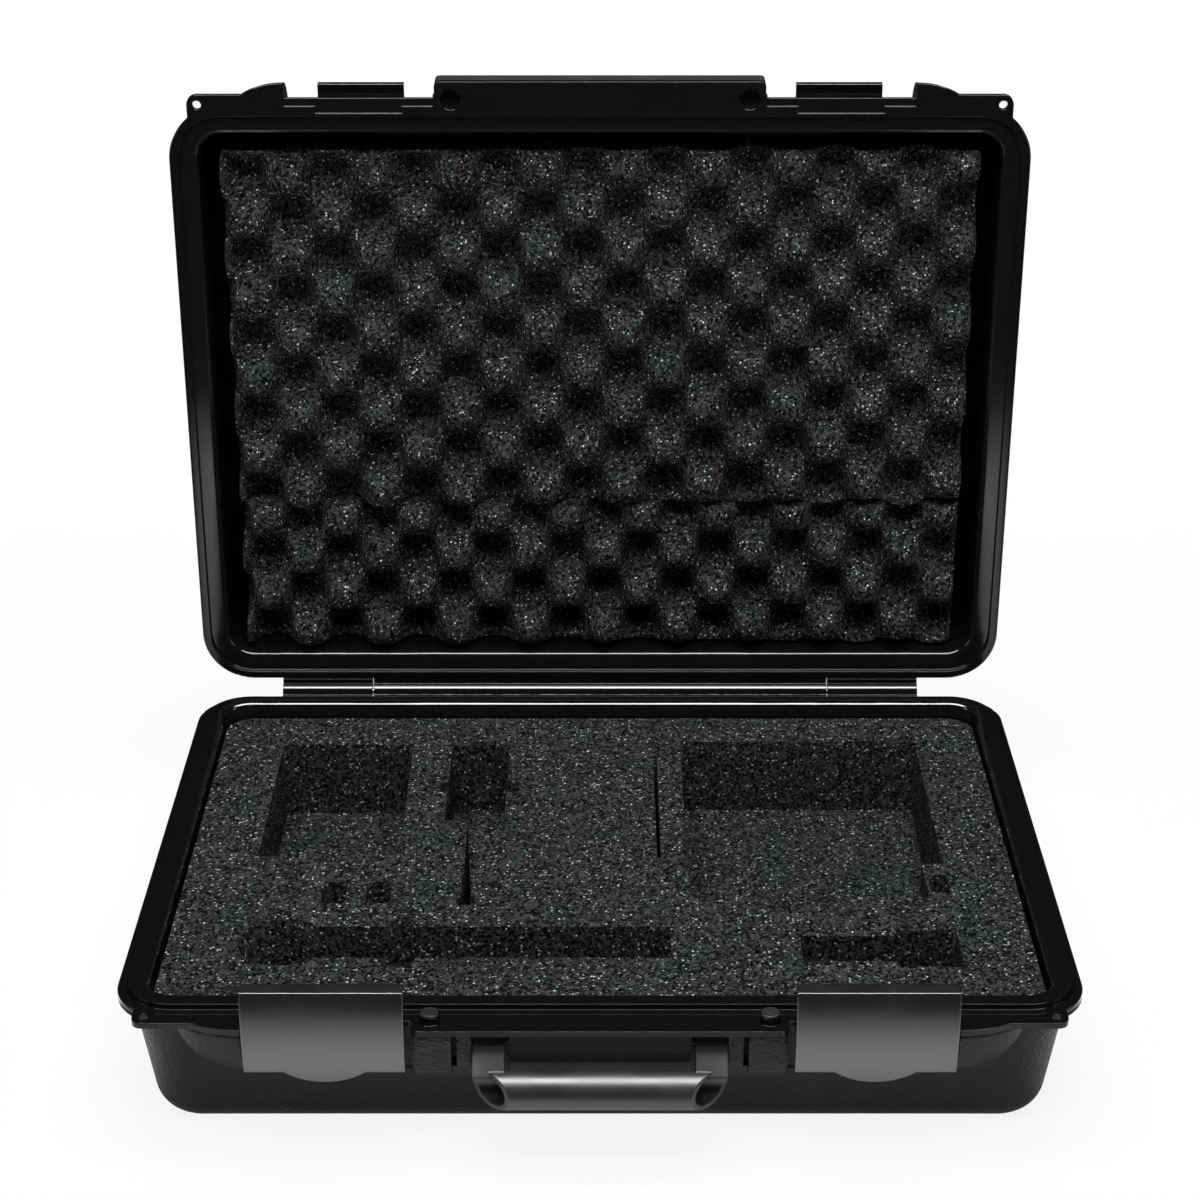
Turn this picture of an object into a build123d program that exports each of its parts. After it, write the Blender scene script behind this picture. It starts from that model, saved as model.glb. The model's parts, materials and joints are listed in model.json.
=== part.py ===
"""Hard-shell microphone case with an egg-crate lid and a die-cut foam tray.

Millimetres.  X runs along the front, +Y points to the hinge side, +Z is up.
The origin is the middle of the flat underside.  The lid is drawn shut on
the base and then swung open about the hinge pins; the latches are drawn
unhooked and the handle hangs down, as they are when the case lies open.
"""

import os
from math import cos, radians, sin, tan

from build123d import *

os.makedirs("parts", exist_ok=True)

# ---------------------------------------------------------------- overall
CASE_WIDTH = 485.0          # over the rim, along X
CASE_DEPTH = 358.5          # over the rim, front to back
BASE_HEIGHT = 76.0          # underside to seam
LID_HEIGHT = 46.0           # seam to lid top
LID_OPEN_ANGLE = 88.0       # lid stops just short of upright
SEAM_GAP = 0.3              # between the two rims when shut
CUT_REACH = 60.0            # front cuts run out past every fitting
CUT_OVERRUN = 1.0           # other cuts run past the faces they open

# ---------------------------------------------------------------- shells
RIM_CORNER = 30.0           # plan radius of the rim
RIM_THICK = 6.0
RIM_OVERHANG = 6.5          # rim edge to outer wall
RIM_BAND = 15.5             # rim edge to cavity
RIM_EDGE_ROUND = 1.2
WALL_DRAFT_BASE = 9.5       # how far the outer wall leans in, top to bottom
WALL_DRAFT_LID = 5.5
CAVITY_DRAFT = 2.0
FLOOR_THICK = 4.0
BASE_EDGE_ROUND = 18.0
LID_EDGE_ROUND = 16.0
LOWER_CORNER = 26.0
TONGUE_HEIGHT = 3.0
TONGUE_INSET = 5.2          # rim edge to tongue
LIP_WIDTH = 4.8             # lid lip that drops outside the tongue
TONGUE_TOP_GAP = 0.3
MOUTH_ROUND = 2.8
PANEL_INSET = 52.0          # shallow panel in the lid top
PANEL_DEPTH = 1.0

# ---------------------------------------------------------------- front strip
STRIP_REACH = 7.5           # strip edge in front of the rim edge
STRIP_THICK = 3.0
EYE_X = 225.0
EYE_RADIUS = 2.5
EYE_MARGIN = 3.3            # hole edge to the ear edges
EAR_RADIUS = 5.7

# ---------------------------------------------------------------- hinge
HINGE_SETBACK = 8.5         # hinge axis behind the rim edge
HINGE_END_INSET = 47.5      # barrel end in from the rim edge
OUTER_KNUCKLE = 55.5        # barrel end to the middle of the knuckle gap
KNUCKLE_GAP = 0.5
BARREL_RADIUS = 5.0
HINGE_PIN_RADIUS = 1.75
HINGE_PIN_LENGTH = 96.0
RUNNING_GAP = 0.06          # radial, pin in a part that turns
SEAT_GAP = 0.02             # radial, pin in the part that holds it
STOP_GAP = 0.3              # lid rim above the stops when it is fully open

# ---------------------------------------------------------------- latches
LATCH_X = 134.75
LATCH_WIDTH = 79.0
LATCH_SIDE_GAP = 2.0        # plate edge to the shoulder
LATCH_HEIGHT = 46.0
LATCH_TOP = 25.0            # plate top above the seam, hooked
LATCH_INNER_REACH = 9.6     # inner face of the plate ends, hooked
LATCH_THICK = 3.0
LATCH_ARC_RADIUS = 110.0
LATCH_HOOK_LENGTH = 6.0
LATCH_HOOK_THICK = 2.5
LATCH_TAB_WIDTH = 40.0
LATCH_TAB_DROP = 7.0
LUG_SPAN = 56.8             # clear width between each pair of lugs
LUG_THICK = 5.0
LUG_RADIUS = 4.2
LINK_WIDTH = 56.0
LINK_RADIUS = 3.6
LINK_WEB = 3.2
LINK_LENGTH = 12.0
LINK_PIVOT = (0.5, -8.0)    # reach and height of the base pivot
LINK_SHUT_ANGLE = -97.0     # link direction when hooked, past dead centre
LINK_REST_ANGLE = -60.0
LATCH_FOLLOW = -1.05        # plate turn per link turn
LATCH_PIN_RADIUS = 1.5
RECESS_REACH = -12.0        # back of the latch bay in the base wall
RECESS_DROP = 38.0
BAY_STRIP_REACH = 5.5       # strip edge inside the latch bays
LEDGE_REACH = 1.0           # relief in the lid's seam face across each bay
LEDGE_DEPTH = 0.8
LEDGE_STEP = 4.0            # how much further in it runs under a keeper

# ---------------------------------------------------------------- keepers
KEEPER_WIDTH = 48.5
KEEPER_REACH = 9.0
KEEPER_LEDGE = 4.5
KEEPER_PAD = 3.5
KEEPER_PAD_HEIGHT = 15.0
KEEPER_BEVEL = 2.0
KEEPER_SINK = 0.5           # seat cut below the sloping wall
KEEPER_FIT = 0.1
HOOK_CLEARANCE = 0.3

# ---------------------------------------------------------------- shoulders
SHOULDER_WIDTH = 37.0
SHOULDER_REACH = 14.0
SHOULDER_ROOT = -12.0
SHOULDER_DROP_BASE = 35.0
SHOULDER_DROP_LID = 24.0

# ---------------------------------------------------------------- centre block
BLOCK_HALF_WIDTH = 92.5
BLOCK_REACH = 15.0
BLOCK_FACE_REACH = 11.0     # face under the strip
BLOCK_FACE_DROP = 20.0
BLOCK_FOOT_REACH = -10.0
BLOCK_FOOT_DROP = 44.0
LID_BLOCK_HEIGHT = 20.0
LID_BLOCK_TOP_REACH = 11.0
DOWEL_X = 83.5
DOWEL_REACH = 5.0
DOWEL_RADIUS = 5.0
DOWEL_HEIGHT = 5.3
SOCKET_GAP = 1.0
BOSS_INNER_X = 73.0
BOSS_OUTER_X = 91.0
BOSS_REACH = 13.0
BOSS_DROP = 26.0
SLOT_WIDTH = 2.5
SLOT_DEPTH = 9.0
SLOT_START = 2.0            # slot ends short of the strip and of the boss foot
SLOT_END = 1.0
BOSS_BEVEL = 2.0
BOSS_FOOT_DROP = 14.0       # how far the boss runs down into the wall
LID_BLOCK_BEVEL = 6.0
LID_BLOCK_BACK = 4.0        # the block top rises into the lid wall
DOWEL_BEVEL = 0.8

# ---------------------------------------------------------------- handle
HANDLE_HALF_LENGTH = 62.6
HANDLE_ARM_WIDTH = 15.6
HANDLE_PIVOT = (4.0, -12.0)
HANDLE_GRIP = (21.0, -29.6)
HANDLE_BOSS_RADIUS = 6.0
GRIP_RADIUS = 9.75
GRIP_WALL = 2.2
GRIP_SLANT = 18.0           # how much shorter the front of the grip is
ARM_SIDE_GAP = 0.6
ARM_POCKET_INNER = 2.2
ARM_POCKET_REACH = -3.5
HANDLE_PIN_RADIUS = 2.0
HANDLE_PIN_SEAT = 6.0

# ---------------------------------------------------------------- foam
TRAY_TOP_DROP = 6.0         # foam top below the seam
TRAY_THICK = 46.0
TRAY_GAP = 2.0              # to the cavity mouth
TRAY_CORNER = 16.0
PAD_CORNER_EXTRA = 3.0      # the pad is rounder at its corners than the tray
PAD_GAP = 0.4
POCKET_CORNER = 1.5
SMALL_CORNER = 1.0
WELL_CORNER = 3.0
# each pocket: X from, X to, then its near and far distance from the hinge axis
BOX_POCKET = (-188.5, -111.0, 61.7, 196.5)
PACK_POCKET = (-88.0, -54.0, 61.7, 155.0)
PACK_CABLE = (-77.5, -62.0, 56.5, 64.0)
PACK_CLIP = (-92.4, -46.3, 109.0, 121.4)
AERIAL_SLOT = (-74.5, -69.0, 150.0, 249.7)
AERIAL_FOOT = (-77.0, -67.0, 239.0, 249.7)
RECEIVER_WIDE = (47.8, 188.0, 57.7, 205.0)
RECEIVER_LONG = (47.8, 176.4, 190.0, 241.3)
ADAPTER_NARROW = (104.5, 160.0, 281.5, 306.4)
ADAPTER_WIDE = (153.0, 187.0, 275.6, 312.3)
WELL_LEFT = (-149.5, -136.2, 225.2, 247.6)
WELL_RIGHT = (-125.6, -112.2, 225.2, 247.6)
SIDE_NOTCH = (178.4, 189.0, 217.6, 236.0)
BLADE_SLIT = (31.4, 33.6, 83.8, 198.8)
MIC_LINE = 287.7            # middle of the microphone from the hinge axis
MIC_HEAD_X = -165.5
MIC_HEAD_RADIUS = 23.2
MIC_BODY_X = (-160.0, 37.0)
MIC_BODY_HALF = 15.5
MIC_RING_X = (-112.0, -95.5)
MIC_RING_HALF = 24.0
LID_FOAM_SIDE_GAP = 11.0    # foam to the lid cavity mouth
LID_FOAM_FRONT_INSET = 29.0
LID_FOAM_REAR_INSET = 18.5
LID_FOAM_LOWER_DEPTH = 93.0
LID_FOAM_PEAK = 2.0         # peaks above the lid rim face
LID_FOAM_SPLIT_GAP = 0.6
LID_FOAM_CORNER = 6.0
LID_FOAM_BACK_ROUND = 10.0  # clears the rounded inside edge of the lid
CRATE_DEPTH = 27.0          # peaks to pits of the egg-crate foam
CRATE_FLAT = 0.3            # flat floor of a pit, as a share of its pitch
CRATE_REACH = 20            # half pitches looked at each way from the first pit
# each sheet: pitch along X, pitch up the lid, X and hinge distance of a pit, turn
UPPER_CRATE = (48.0, 49.0, -9.8, 327.3, 1.15)
LOWER_CRATE = (45.1, 49.5, -20.2, 87.8, 0.69)

# ---------------------------------------------------------------- worked out
FRONT_Y = -CASE_DEPTH / 2
BACK_Y = CASE_DEPTH / 2
HINGE_Y = BACK_Y + HINGE_SETBACK
EYE_Y = FRONT_Y - STRIP_REACH + EYE_MARGIN + EYE_RADIUS
HALF_WIDTH = CASE_WIDTH / 2
HALF_DEPTH = CASE_DEPTH / 2
BAY_HALF_WIDTH = LATCH_WIDTH / 2 + LATCH_SIDE_GAP
HINGE_AXIS = Axis((0, HINGE_Y, BASE_HEIGHT), (1, 0, 0))
CAVITY_HALF_WIDTH = HALF_WIDTH - RIM_BAND
CAVITY_HALF_DEPTH = HALF_DEPTH - RIM_BAND
HINGE_HALF_LENGTH = HALF_WIDTH - HINGE_END_INSET
HINGE_SPLIT = HINGE_HALF_LENGTH - OUTER_KNUCKLE
LID_FOAM_HALF_WIDTH = CAVITY_HALF_WIDTH - LID_FOAM_SIDE_GAP


# ---------------------------------------------------------------- helpers
def rounded(half_width, half_depth, corner, height=0.0):
    """Rounded rectangle about the Z axis at a height."""
    return Pos(0, 0, height) * RectangleRounded(2 * half_width, 2 * half_depth, corner)


def tub(half_width, half_depth, corner, top, depth, draft, low_corner, edge):
    """Closed tapering tub that hangs below its mouth, its floor edge rounded."""
    mouth = rounded(half_width, half_depth, corner, top)
    floor = rounded(half_width - draft, half_depth - draft, low_corner, top - depth)
    body = loft([floor, mouth], ruled=True)
    return fillet(body.edges().group_by(Axis.Z)[0], edge)


def block(x_range, reach_range, height_range):
    """Box given by X, by reach in front of the rim and by height above the seam."""
    (x0, x1), (r0, r1), (h0, h1) = x_range, reach_range, height_range
    size = (x1 - x0, r1 - r0, h1 - h0)
    middle = ((x0 + x1) / 2, FRONT_Y - (r0 + r1) / 2, (h0 + h1) / 2)
    return Pos(*middle) * Box(*size)


def side_plane(x):
    """Plane across the front at X; its own x is reach, its own y is height."""
    return Plane(origin=(x, FRONT_Y, 0), x_dir=(0, -1, 0), z_dir=(-1, 0, 0))


def across(profile, x, width):
    """A reach-height profile carried along X, centred on x."""
    return extrude(side_plane(x) * profile, width / 2, both=True)


def rod(x, width, point, radius):
    """Cylinder along X, centred on x, about a reach-height point."""
    return across(Pos(*point) * Circle(radius), x, width)


def both_sides(shape):
    """The shape and its mirror image across the middle of the case."""
    return [shape, mirror(shape, Plane.YZ)]


def on_base(shape):
    """Seam frame to case frame."""
    return Pos(0, 0, BASE_HEIGHT) * shape


def on_lid(shape):
    """Seam frame of the shut lid to the open lid."""
    shut = Pos(0, 0, BASE_HEIGHT + SEAM_GAP) * shape
    return shut.rotate(HINGE_AXIS, -LID_OPEN_ANGLE)


def turned(point, pivot, degrees):
    """A reach-height point turned about a pivot."""
    a = radians(degrees)
    r, h = point[0] - pivot[0], point[1] - pivot[1]
    return (pivot[0] + r * cos(a) - h * sin(a), pivot[1] + r * sin(a) + h * cos(a))


# ---------------------------------------------------------------- front fittings
def strip(up):
    """Front strip with its two padlock ears; up is +1 on the lid, -1 on the base."""
    ear = EYE_X + EAR_RADIUS
    depth = STRIP_REACH + RIM_CORNER
    plate = Pos(0, FRONT_Y - STRIP_REACH + depth / 2) * Rectangle(2 * ear, depth)
    corners = plate.vertices().group_by(Axis.Y)[0]
    plate = fillet(corners, EAR_RADIUS - 0.1)
    solid = extrude(plate, up * STRIP_THICK)
    eye = Pos(EYE_X, EYE_Y, 0) * Cylinder(EYE_RADIUS, 4 * STRIP_THICK)
    return solid, both_sides(eye)


def shoulder(up, drop):
    """Quarter-dome guard that stands outside a latch and fades into the wall."""
    x0 = LATCH_X + BAY_HALF_WIDTH
    reach = SHOULDER_REACH - SHOULDER_ROOT
    dome = scale(Sphere(1.0), (SHOULDER_WIDTH, reach, drop))
    dome = Pos(x0, FRONT_Y - SHOULDER_ROOT, 0) * dome
    keep = block((x0, x0 + SHOULDER_WIDTH), (SHOULDER_ROOT, CUT_REACH), (0, drop))
    if up < 0:
        keep = mirror(keep, Plane.XY)
    return dome & keep


def bays(reach, low, high):
    """Cutters for the two latch bays, from a reach outwards."""
    x0, x1 = LATCH_X - BAY_HALF_WIDTH, LATCH_X + BAY_HALF_WIDTH
    return both_sides(block((x0, x1), (reach, CUT_REACH), (low, high)))


def link_geometry():
    """Shut and rest places of the plate pivot, and the plate's lean at rest."""
    places = {}
    for name, angle in (("shut", LINK_SHUT_ANGLE), ("rest", LINK_REST_ANGLE)):
        tip = (LINK_PIVOT[0] + LINK_LENGTH, LINK_PIVOT[1])
        places[name] = turned(tip, LINK_PIVOT, angle)
    swing = LINK_REST_ANGLE - LINK_SHUT_ANGLE
    return places["shut"], places["rest"], swing * (1 + LATCH_FOLLOW)


PLATE_PIVOT_SHUT, PLATE_PIVOT, PLATE_LEAN = link_geometry()


# ---------------------------------------------------------------- base shell
def base_lugs(x):
    """Pair of lugs that carry the link pin under the strip of one bay."""
    r, h = LINK_PIVOT
    outline = Pos(r, h) * Circle(LUG_RADIUS)
    root = r - RECESS_REACH + CUT_OVERRUN
    outline += Pos(r - root / 2, h) * Rectangle(root, 2 * LUG_RADIUS)
    outline += Pos(r, (h - STRIP_THICK / 2) / 2) * Rectangle(2 * LUG_RADIUS, -h - STRIP_THICK / 2)
    outline -= Pos(r, h) * Circle(LATCH_PIN_RADIUS + SEAT_GAP)
    side = (LUG_SPAN + LUG_THICK) / 2
    return [across(outline, x + s * side, LUG_THICK) for s in (-1, 1)]


def centre_block():
    """Moulded block behind the handle, with bosses, slots and arm pockets."""
    profile = Polygon(
        (BLOCK_FOOT_REACH, 0),
        (BLOCK_REACH, 0),
        (BLOCK_REACH, -STRIP_THICK),
        (BLOCK_FACE_REACH, -STRIP_THICK),
        (BLOCK_FACE_REACH, -BLOCK_FACE_DROP),
        (BLOCK_FOOT_REACH, -BLOCK_FOOT_DROP),
        align=None,
    )
    body = across(profile, 0, 2 * BLOCK_HALF_WIDTH)
    body = fillet(body.edges().filter_by(Axis.Z).group_by(Axis.Y)[0], STRIP_THICK)
    boss_x = (BOSS_INNER_X + BOSS_OUTER_X) / 2
    boss = Polygon(
        (BLOCK_FOOT_REACH, -STRIP_THICK),
        (BOSS_REACH, -STRIP_THICK),
        (BOSS_REACH, BOSS_BEVEL - BOSS_DROP),
        (BOSS_REACH - BOSS_BEVEL, -BOSS_DROP),
        (BLOCK_FOOT_REACH, -BOSS_DROP - BOSS_FOOT_DROP),
        align=None,
    )
    body += both_sides(across(boss, boss_x, BOSS_OUTER_X - BOSS_INNER_X))
    outer = HANDLE_HALF_LENGTH + ARM_SIDE_GAP
    inner = HANDLE_HALF_LENGTH - HANDLE_ARM_WIDTH - ARM_POCKET_INNER
    low = -BLOCK_FOOT_DROP - CUT_OVERRUN
    pocket = block((inner, outer), (ARM_POCKET_REACH, CUT_REACH), (low, -STRIP_THICK))
    slot = block(
        (BOSS_INNER_X - SLOT_WIDTH, BOSS_INNER_X),
        (BLOCK_FACE_REACH - SLOT_DEPTH, CUT_REACH),
        (-BOSS_DROP + SLOT_END, -STRIP_THICK - SLOT_START),
    )
    return body - both_sides(pocket) - both_sides(slot)


def handle_pin_span():
    """Inner and outer end of a handle pin along X."""
    outer = HANDLE_HALF_LENGTH + ARM_SIDE_GAP + HANDLE_PIN_SEAT
    inner = HANDLE_HALF_LENGTH - HANDLE_ARM_WIDTH - ARM_POCKET_INNER - HANDLE_PIN_SEAT
    return inner, outer


def knuckle(x0, x1, up, axis_height):
    """Hinge barrel from x0 to x1 with the web that joins it to the rim."""
    middle, width = (x0 + x1) / 2, x1 - x0
    barrel = hinge_cylinder(x0, x1, BARREL_RADIUS, axis_height)
    web_y = HINGE_SETBACK + 1
    height = BARREL_RADIUS - SEAM_GAP
    centre = (middle, HINGE_Y - web_y / 2, axis_height + up * (SEAM_GAP + height / 2))
    return barrel + Pos(*centre) * Box(width, web_y, height)


def lid_stop(x0, x1):
    """Stop on a base knuckle that the rim of the open lid comes down to."""
    top = HINGE_SETBACK * sin(radians(LID_OPEN_ANGLE)) - STOP_GAP
    low = HINGE_PIN_RADIUS + CUT_OVERRUN
    centre = ((x0 + x1) / 2, HINGE_Y + BARREL_RADIUS / 2, (low + top) / 2)
    return Pos(*centre) * Box(x1 - x0, BARREL_RADIUS, top - low)


def hinge_cylinder(x0, x1, radius, axis_height=0.0):
    """Cylinder about the hinge axis; the lid's own frame sits a seam gap higher."""
    place = Pos((x0 + x1) / 2, HINGE_Y, axis_height) * Rot(0, 90, 0)
    return place * Cylinder(radius, x1 - x0)


def make_base_shell():
    """Lower shell: tub, rim, tongue, strip, latch bays, centre block and knuckles."""
    body = tub(
        HALF_WIDTH - RIM_OVERHANG, HALF_DEPTH - RIM_OVERHANG, RIM_CORNER - RIM_OVERHANG,
        0, BASE_HEIGHT, WALL_DRAFT_BASE, LOWER_CORNER, BASE_EDGE_ROUND,
    )
    rim = extrude(rounded(HALF_WIDTH, HALF_DEPTH, RIM_CORNER), -RIM_THICK)
    rim = fillet(rim.edges().filter_by(Axis.Z, reverse=True), RIM_EDGE_ROUND)
    inset = TONGUE_INSET
    tongue = rounded(HALF_WIDTH - inset, HALF_DEPTH - inset, RIM_CORNER - inset)
    plate, eyes = strip(-1)
    body += rim
    body += plate
    body += both_sides(shoulder(-1, SHOULDER_DROP_BASE))
    body -= bays(RECESS_REACH, -RECESS_DROP, -STRIP_THICK)
    body -= bays(BAY_STRIP_REACH, -RECESS_DROP, STRIP_THICK)
    body += centre_block()
    for x in (-LATCH_X, LATCH_X):
        body += base_lugs(x)
    body += extrude(tongue, TONGUE_HEIGHT)
    split = HINGE_SPLIT + KNUCKLE_GAP / 2
    body += both_sides(knuckle(split, HINGE_HALF_LENGTH, -1, 0))
    far = HINGE_HALF_LENGTH + CUT_OVERRUN
    bore = hinge_cylinder(split - CUT_OVERRUN, far, HINGE_PIN_RADIUS + SEAT_GAP)
    body -= both_sides(bore)
    cavity = tub(
        CAVITY_HALF_WIDTH, CAVITY_HALF_DEPTH, RIM_CORNER - RIM_BAND,
        TONGUE_HEIGHT, BASE_HEIGHT - FLOOR_THICK + TONGUE_HEIGHT, CAVITY_DRAFT,
        RIM_CORNER - RIM_BAND + 2, BASE_EDGE_ROUND - FLOOR_THICK,
    )
    body -= cavity
    mouth = body.faces().filter_by(Plane.XY).sort_by(Axis.Z)[-1]
    body = fillet(mouth.inner_wires()[0].edges(), MOUTH_ROUND)
    body += both_sides(lid_stop(split, HINGE_HALF_LENGTH))
    body -= eyes
    inner, outer_x = handle_pin_span()
    middle, width = (inner + outer_x) / 2, outer_x - inner
    body -= both_sides(rod(middle, width, HANDLE_PIVOT, HANDLE_PIN_RADIUS + SEAT_GAP))
    dowel = Pos(DOWEL_X, FRONT_Y - DOWEL_REACH, DOWEL_HEIGHT / 2)
    dowel = dowel * Cylinder(DOWEL_RADIUS, DOWEL_HEIGHT)
    dowel = chamfer(dowel.edges().group_by(Axis.Z)[-1], DOWEL_BEVEL)
    return on_base(body + both_sides(dowel))


# ---------------------------------------------------------------- lid shell
def lid_block():
    """Block on the lid that meets the base block and hides the dowel sockets."""
    profile = Polygon(
        (BLOCK_FOOT_REACH, 0),
        (BLOCK_REACH, 0),
        (BLOCK_REACH, LID_BLOCK_HEIGHT - LID_BLOCK_BEVEL),
        (LID_BLOCK_TOP_REACH, LID_BLOCK_HEIGHT),
        (BLOCK_FOOT_REACH, LID_BLOCK_HEIGHT + LID_BLOCK_BACK),
        align=None,
    )
    body = across(profile, 0, 2 * BLOCK_HALF_WIDTH)
    body = fillet(body.edges().filter_by(Axis.Z).group_by(Axis.Y)[0], STRIP_THICK)
    depth = DOWEL_HEIGHT + SOCKET_GAP
    socket = Pos(DOWEL_X, FRONT_Y - DOWEL_REACH, depth / 2)
    socket = socket * Cylinder(DOWEL_RADIUS + SOCKET_GAP, depth)
    return body, both_sides(socket)


def keeper_top():
    """Height of the keeper ledge in the lid's own seam frame."""
    return LATCH_TOP - LATCH_HOOK_THICK - HOOK_CLEARANCE - SEAM_GAP


def keeper_wall_reach():
    """Flat seat for a keeper, cut into the lid wall."""
    return -RIM_OVERHANG - WALL_DRAFT_LID * keeper_top() / LID_HEIGHT - KEEPER_SINK


def make_lid_shell():
    """Upper shell, drawn shut: tub upside down, rabbet, strip, block and knuckle."""
    body = tub(
        HALF_WIDTH - RIM_OVERHANG, HALF_DEPTH - RIM_OVERHANG, RIM_CORNER - RIM_OVERHANG,
        0, LID_HEIGHT, WALL_DRAFT_LID, LOWER_CORNER, LID_EDGE_ROUND,
    )
    cavity = tub(
        CAVITY_HALF_WIDTH, CAVITY_HALF_DEPTH, RIM_CORNER - RIM_BAND,
        0, LID_HEIGHT - FLOOR_THICK, CAVITY_DRAFT,
        RIM_CORNER - RIM_BAND + 2, LID_EDGE_ROUND - FLOOR_THICK,
    )
    body = mirror(body, Plane.XY)
    cavity = mirror(cavity, Plane.XY)
    rim = extrude(rounded(HALF_WIDTH, HALF_DEPTH, RIM_CORNER), RIM_THICK)
    rim = fillet(rim.edges().filter_by(Axis.Z, reverse=True), RIM_EDGE_ROUND)
    plate, eyes = strip(1)
    dowel_block, sockets = lid_block()
    body += rim
    body += plate
    body += both_sides(shoulder(1, SHOULDER_DROP_LID))
    body -= bays(BAY_STRIP_REACH, -STRIP_THICK, LID_HEIGHT)
    body -= bays(LEDGE_REACH, 0, LEDGE_DEPTH)
    top = keeper_top()
    x0, x1 = LATCH_X - KEEPER_WIDTH / 2, LATCH_X + KEEPER_WIDTH / 2
    low = top - KEEPER_PAD_HEIGHT
    seat = block((x0, x1), (keeper_wall_reach(), CUT_REACH), (low, top + KEEPER_FIT))
    relief = block((x0, x1), (LEDGE_REACH - LEDGE_STEP, CUT_REACH), (0, LEDGE_DEPTH))
    body -= both_sides(seat)
    body -= both_sides(relief)
    body += dowel_block
    split = HINGE_SPLIT - KNUCKLE_GAP / 2
    body += knuckle(-split, split, 1, -SEAM_GAP)
    inner = HINGE_HALF_LENGTH - HINGE_PIN_LENGTH - CUT_OVERRUN
    bore_radius = HINGE_PIN_RADIUS + RUNNING_GAP
    bore = hinge_cylinder(inner, split + CUT_OVERRUN, bore_radius, -SEAM_GAP)
    body -= both_sides(bore)
    body -= cavity
    inset = LIP_WIDTH
    rabbet = rounded(HALF_WIDTH - inset, HALF_DEPTH - inset, RIM_CORNER - inset)
    body -= extrude(rabbet, TONGUE_HEIGHT + TONGUE_TOP_GAP - SEAM_GAP)
    floor_height = TONGUE_HEIGHT + TONGUE_TOP_GAP - SEAM_GAP
    faces = body.faces().filter_by(Plane.XY)
    ledge = faces.filter_by_position(Axis.Z, floor_height - 0.01, floor_height + 0.01)
    ledge = ledge.sort_by(SortBy.AREA)[-1]
    body = fillet(ledge.inner_wires()[0].edges(), MOUTH_ROUND)
    body -= eyes
    body -= sockets
    panel = rounded(
        HALF_WIDTH - PANEL_INSET, HALF_DEPTH - PANEL_INSET, RIM_CORNER, LID_HEIGHT
    )
    body -= extrude(panel, -PANEL_DEPTH)
    return on_lid(body)


def make_keeper(x):
    """Keeper that the latch hooks over: pad on the lid wall and a ledge."""
    top = keeper_top()
    back = keeper_wall_reach()
    low = top - KEEPER_PAD_HEIGHT
    profile = Polygon(
        (back, low),
        (back + KEEPER_PAD, low),
        (back + KEEPER_PAD, top - KEEPER_LEDGE - KEEPER_BEVEL),
        (back + KEEPER_PAD + KEEPER_BEVEL, top - KEEPER_LEDGE),
        (KEEPER_REACH, top - KEEPER_LEDGE),
        (KEEPER_REACH, top),
        (back, top),
        align=None,
    )
    return on_lid(across(profile, x, KEEPER_WIDTH - KEEPER_FIT))


# ---------------------------------------------------------------- latch
def make_latch_plate(x):
    """Curved latch plate with hook lip, thumb tab and the two pivot lugs."""
    top, low = LATCH_TOP, LATCH_TOP - LATCH_HEIGHT
    middle = (top + low) / 2
    half = LATCH_HEIGHT / 2
    drop = (LATCH_ARC_RADIUS**2 - half**2) ** 0.5
    centre = (LATCH_INNER_REACH - drop, middle)
    ring = Circle(LATCH_ARC_RADIUS + LATCH_THICK) - Circle(LATCH_ARC_RADIUS)
    arc_band = Pos(*centre) * ring
    window = Pos(LATCH_INNER_REACH, middle) * Rectangle(CUT_REACH, LATCH_HEIGHT)
    overlap = LATCH_THICK / 2
    hook = Pos(LATCH_INNER_REACH + overlap - LATCH_HOOK_LENGTH / 2, top - LATCH_HOOK_THICK / 2)
    hook = hook * Rectangle(LATCH_HOOK_LENGTH + overlap, LATCH_HOOK_THICK)
    plate = across((arc_band & window) + hook, x, LATCH_WIDTH)
    tab_window = Pos(LATCH_INNER_REACH, low - LATCH_TAB_DROP / 2 + CUT_OVERRUN)
    tab_window = tab_window * Rectangle(CUT_REACH, LATCH_TAB_DROP + 2 * CUT_OVERRUN)
    tab = across(arc_band & tab_window, x, LATCH_TAB_WIDTH)
    rise = LATCH_TAB_DROP
    arc = ((LATCH_TAB_WIDTH / 2) ** 2 + rise**2) / (2 * rise)
    crescent = Pos(x, FRONT_Y - LATCH_INNER_REACH, low - rise + arc)
    crescent = crescent * Rot(90, 0, 0) * Cylinder(arc, CUT_REACH)
    plate += tab & crescent
    eye = PLATE_PIVOT_SHUT
    lug = Pos(*eye) * Circle(LUG_RADIUS)
    reach = LATCH_INNER_REACH + LATCH_THICK / 2 - eye[0]
    lug += Pos(eye[0] + reach / 2, eye[1] + LUG_RADIUS / 2) * Rectangle(reach, LUG_RADIUS)
    side = (LUG_SPAN + LUG_THICK) / 2
    for s in (-1, 1):
        plate += across(lug, x + s * side, LUG_THICK)
    plate -= rod(x, LATCH_WIDTH, eye, LATCH_PIN_RADIUS + SEAT_GAP)
    moved = (PLATE_PIVOT[0] - eye[0], PLATE_PIVOT[1] - eye[1])
    plate = Pos(0, -moved[0], moved[1]) * plate
    pivot = Axis((0, FRONT_Y - PLATE_PIVOT[0], PLATE_PIVOT[1]), (-1, 0, 0))
    return on_base(plate.rotate(pivot, PLATE_LEAN))


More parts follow.
